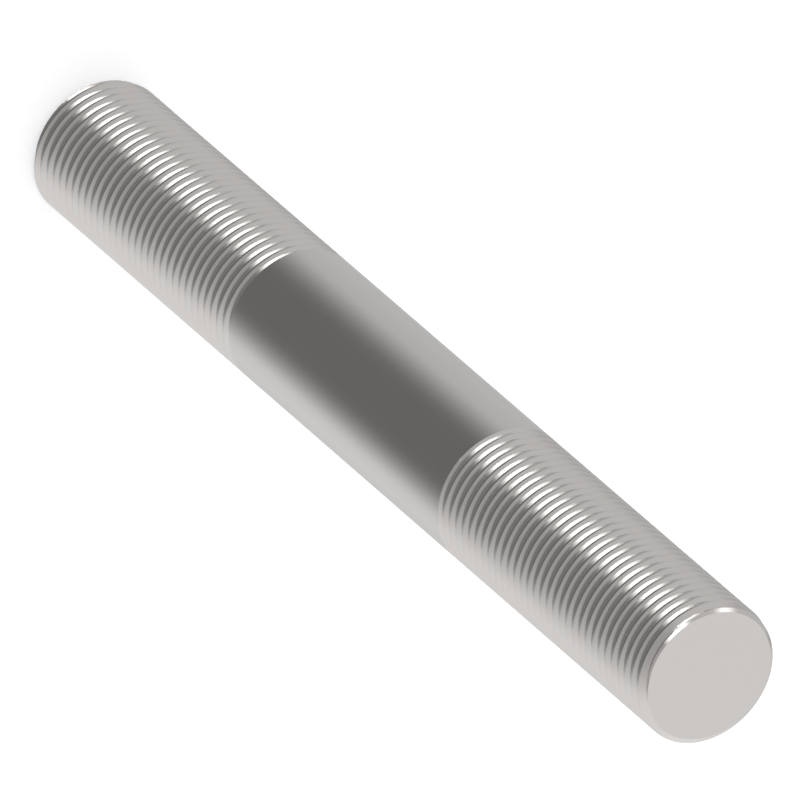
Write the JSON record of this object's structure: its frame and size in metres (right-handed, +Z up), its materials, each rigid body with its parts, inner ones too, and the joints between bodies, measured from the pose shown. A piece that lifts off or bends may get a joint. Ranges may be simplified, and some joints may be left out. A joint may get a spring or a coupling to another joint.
{
  "type": "threaded stud",
  "caption": "Round steel stud with a fine thread at each end, right-hand above and left-hand below, a plain full-size shank between them and chamfered flat ends.",
  "frame": {"origin": "centre of the lower end face, on which the stud stands", "axes": "+Z up along the stud's axis, from the lower end face to the upper one; X and Y are alike, because the stud is round"},
  "size_m": [0.019, 0.019, 0.1524],
  "materials": {
    "stainless_steel": "satin, turned and ground bright bar"
  },
  "bodies": {
    "root": {"stud": "stainless_steel"}
  },
  "joints": []
}
